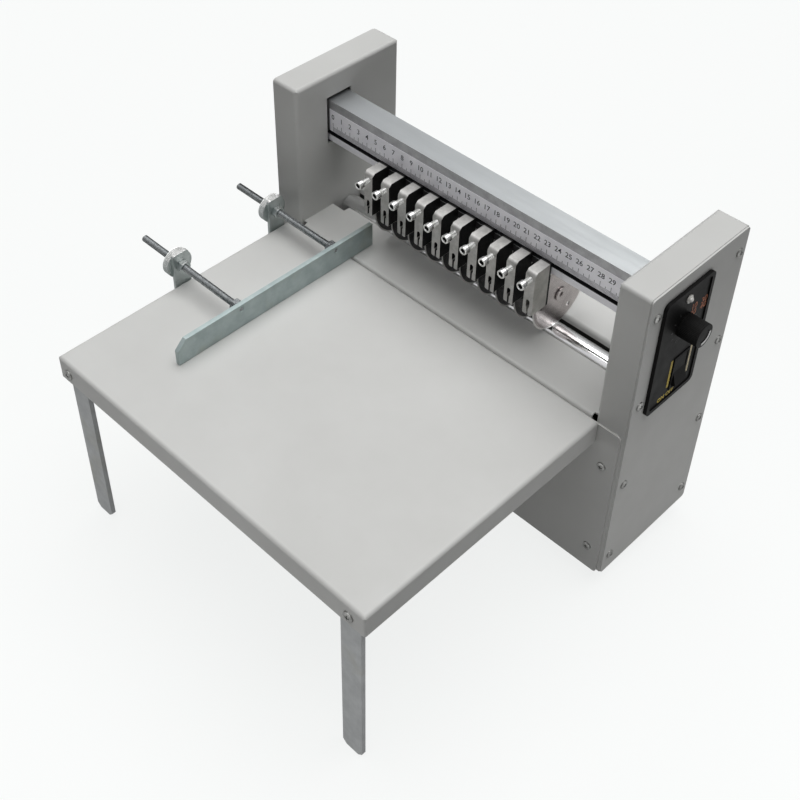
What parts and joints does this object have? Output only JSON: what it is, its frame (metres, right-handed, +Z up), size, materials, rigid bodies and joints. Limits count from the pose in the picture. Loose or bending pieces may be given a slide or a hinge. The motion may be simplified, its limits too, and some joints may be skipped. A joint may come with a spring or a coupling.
{
  "type": "label cutting machine",
  "caption": "Table-top label slitter: round knives in clamped holders on a grooved bar over a driven steel roller, with a feed table, a side guide and a speed control.",
  "frame": {"origin": "on the floor, under the middle of the overall box", "axes": "+X from the guide's side to the control panel's side along the knife bar, -Y towards the feed table and the operator, +Z up"},
  "size_m": [0.4282, 0.3665, 0.315],
  "materials": {
    "painted_sheet": "fine satin powder coat",
    "inner_steel": "plain machined",
    "bar_aluminium": "satin anodised",
    "polished_steel": "ground and polished",
    "gear_steel": "machined",
    "motor_paint": "satin",
    "black_plastic": "fine grained",
    "rocker_plastic": "glossy",
    "lamp_lens": "clear",
    "zinc_steel": "zinc plated",
    "rod_steel": "threaded, zinc plated",
    "rubber": "matt",
    "screw_steel": "plated",
    "holder_metal": "milled",
    "blade_steel": "ground"
  },
  "bodies": {
    "machine_body": {"base_pan": "painted_sheet", "left_housing": "painted_sheet", "right_housing": "painted_sheet", "left_cover": "painted_sheet", "right_cover": "painted_sheet", "front_panel": "painted_sheet", "rear_panel": "painted_sheet", "deck_plate": "painted_sheet", "exit_plate": "painted_sheet", "frame_plates": "inner_steel", "knife_bar": "bar_aluminium", "roller_bearings": "inner_steel", "drive_motor": "motor_paint", "control_panel": "black_plastic", "indicator_lamp": "lamp_lens", "power_inlet": "black_plastic", "feed_table": "painted_sheet", "rod_brackets": "zinc_steel", "rod_nuts": "zinc_steel", "rubber_feet": "rubber", "machine_screws": "screw_steel"},
    "roller": {"anvil_roller": "polished_steel", "roller_gear": "gear_steel"},
    "pinion": {"motor_pinion": "gear_steel"},
    "knob": {"speed_knob": "black_plastic"},
    "rocker": {"rocker_switch": "rocker_plastic"},
    "left_leg": {"left_leg": "zinc_steel"},
    "right_leg": {"right_leg": "zinc_steel"},
    "guide": {"side_guide": "zinc_steel", "guide_rods": "rod_steel"},
    "knife_1": {"knife_holder_1": "holder_metal", "knife_screws_1": "screw_steel"},
    "blade_1": {"knife_blade_1": "blade_steel"},
    "knife_2": {"knife_holder_2": "holder_metal", "knife_screws_2": "screw_steel"},
    "blade_2": {"knife_blade_2": "blade_steel"},
    "knife_3": {"knife_holder_3": "holder_metal", "knife_screws_3": "screw_steel"},
    "blade_3": {"knife_blade_3": "blade_steel"},
    "knife_4": {"knife_holder_4": "holder_metal", "knife_screws_4": "screw_steel"},
    "blade_4": {"knife_blade_4": "blade_steel"},
    "knife_5": {"knife_holder_5": "holder_metal", "knife_screws_5": "screw_steel"},
    "blade_5": {"knife_blade_5": "blade_steel"},
    "knife_6": {"knife_holder_6": "holder_metal", "knife_screws_6": "screw_steel"},
    "blade_6": {"knife_blade_6": "blade_steel"},
    "knife_7": {"knife_holder_7": "holder_metal", "knife_screws_7": "screw_steel"},
    "blade_7": {"knife_blade_7": "blade_steel"},
    "knife_8": {"knife_holder_8": "holder_metal", "knife_screws_8": "screw_steel"},
    "blade_8": {"knife_blade_8": "blade_steel"},
    "knife_9": {"knife_holder_9": "holder_metal", "knife_screws_9": "screw_steel"},
    "blade_9": {"knife_blade_9": "blade_steel"},
    "knife_10": {"knife_holder_10": "holder_metal", "knife_screws_10": "screw_steel"},
    "blade_10": {"knife_blade_10": "blade_steel"}
  },
  "joints": [
    {"name": "roller_spin", "type": "hinge", "parent": "machine_body", "child": "roller", "pos_m": [0, 0.11935, 0.173], "axis": [1, 0, 0], "continuous": true},
    {"name": "pinion_spin", "type": "hinge", "parent": "machine_body", "child": "pinion", "pos_m": [0, 0.11935, 0.128], "axis": [1, 0, 0], "continuous": true},
    {"name": "knob_turn", "type": "hinge", "parent": "machine_body", "child": "knob", "pos_m": [0, 0.10735, 0.2675], "axis": [1, 0, 0], "range_deg": [-150, 150]},
    {"name": "rocker_tilt", "type": "hinge", "parent": "machine_body", "child": "rocker", "pos_m": [0.19385, 0.11435, 0.219], "axis": [0, 1, 0], "range_deg": [0, 16.5]},
    {"name": "left_leg_fold", "type": "hinge", "parent": "machine_body", "child": "left_leg", "pos_m": [-0.15315, 0, 0.1705], "axis": [0, -1, 0], "range_deg": [0, 90]},
    {"name": "right_leg_fold", "type": "hinge", "parent": "machine_body", "child": "right_leg", "pos_m": [0.15585, 0, 0.1705], "axis": [0, 1, 0], "range_deg": [0, 90]},
    {"name": "guide_slide", "type": "slide", "parent": "machine_body", "child": "guide", "axis": [1, 0, 0], "range_m": [-0.055, 0.036]},
    {"name": "knife_slide_1", "type": "slide", "parent": "machine_body", "child": "knife_1", "axis": [1, 0, 0], "range_m": [-0.058, 0.0048]},
    {"name": "blade_spin_1", "type": "hinge", "parent": "knife_1", "child": "blade_1", "pos_m": [0, 0.11935, 0.2158], "axis": [1, 0, 0], "continuous": true},
    {"name": "knife_slide_2", "type": "slide", "parent": "machine_body", "child": "knife_2", "axis": [1, 0, 0], "range_m": [-0.0048, 0.0048]},
    {"name": "blade_spin_2", "type": "hinge", "parent": "knife_2", "child": "blade_2", "pos_m": [0, 0.11935, 0.2158], "axis": [1, 0, 0], "continuous": true},
    {"name": "knife_slide_3", "type": "slide", "parent": "machine_body", "child": "knife_3", "axis": [1, 0, 0], "range_m": [-0.0048, 0.0048]},
    {"name": "blade_spin_3", "type": "hinge", "parent": "knife_3", "child": "blade_3", "pos_m": [0, 0.11935, 0.2158], "axis": [1, 0, 0], "continuous": true},
    {"name": "knife_slide_4", "type": "slide", "parent": "machine_body", "child": "knife_4", "axis": [1, 0, 0], "range_m": [-0.0048, 0.0048]},
    {"name": "blade_spin_4", "type": "hinge", "parent": "knife_4", "child": "blade_4", "pos_m": [0, 0.11935, 0.2158], "axis": [1, 0, 0], "continuous": true},
    {"name": "knife_slide_5", "type": "slide", "parent": "machine_body", "child": "knife_5", "axis": [1, 0, 0], "range_m": [-0.0048, 0.0048]},
    {"name": "blade_spin_5", "type": "hinge", "parent": "knife_5", "child": "blade_5", "pos_m": [0, 0.11935, 0.2158], "axis": [1, 0, 0], "continuous": true},
    {"name": "knife_slide_6", "type": "slide", "parent": "machine_body", "child": "knife_6", "axis": [1, 0, 0], "range_m": [-0.0048, 0.0048]},
    {"name": "blade_spin_6", "type": "hinge", "parent": "knife_6", "child": "blade_6", "pos_m": [0, 0.11935, 0.2158], "axis": [1, 0, 0], "continuous": true},
    {"name": "knife_slide_7", "type": "slide", "parent": "machine_body", "child": "knife_7", "axis": [1, 0, 0], "range_m": [-0.0048, 0.0048]},
    {"name": "blade_spin_7", "type": "hinge", "parent": "knife_7", "child": "blade_7", "pos_m": [0, 0.11935, 0.2158], "axis": [1, 0, 0], "continuous": true},
    {"name": "knife_slide_8", "type": "slide", "parent": "machine_body", "child": "knife_8", "axis": [1, 0, 0], "range_m": [-0.0048, 0.0048]},
    {"name": "blade_spin_8", "type": "hinge", "parent": "knife_8", "child": "blade_8", "pos_m": [0, 0.11935, 0.2158], "axis": [1, 0, 0], "continuous": true},
    {"name": "knife_slide_9", "type": "slide", "parent": "machine_body", "child": "knife_9", "axis": [1, 0, 0], "range_m": [-0.0048, 0.0048]},
    {"name": "blade_spin_9", "type": "hinge", "parent": "knife_9", "child": "blade_9", "pos_m": [0, 0.11935, 0.2158], "axis": [1, 0, 0], "continuous": true},
    {"name": "knife_slide_10", "type": "slide", "parent": "machine_body", "child": "knife_10", "axis": [1, 0, 0], "range_m": [-0.0048, 0.078]},
    {"name": "blade_spin_10", "type": "hinge", "parent": "knife_10", "child": "blade_10", "pos_m": [0, 0.11935, 0.2158], "axis": [1, 0, 0], "continuous": true}
  ],
  "couplings": [
    {"joint": "pinion_spin", "follows": "roller_spin", "ratio": -2},
    {"joint": "blade_spin_1", "follows": "roller_spin", "ratio": -0.30769},
    {"joint": "blade_spin_2", "follows": "roller_spin", "ratio": -0.30769},
    {"joint": "blade_spin_3", "follows": "roller_spin", "ratio": -0.30769},
    {"joint": "blade_spin_4", "follows": "roller_spin", "ratio": -0.30769},
    {"joint": "blade_spin_5", "follows": "roller_spin", "ratio": -0.30769},
    {"joint": "blade_spin_6", "follows": "roller_spin", "ratio": -0.30769},
    {"joint": "blade_spin_7", "follows": "roller_spin", "ratio": -0.30769},
    {"joint": "blade_spin_8", "follows": "roller_spin", "ratio": -0.30769},
    {"joint": "blade_spin_9", "follows": "roller_spin", "ratio": -0.30769},
    {"joint": "blade_spin_10", "follows": "roller_spin", "ratio": -0.30769}
  ]
}
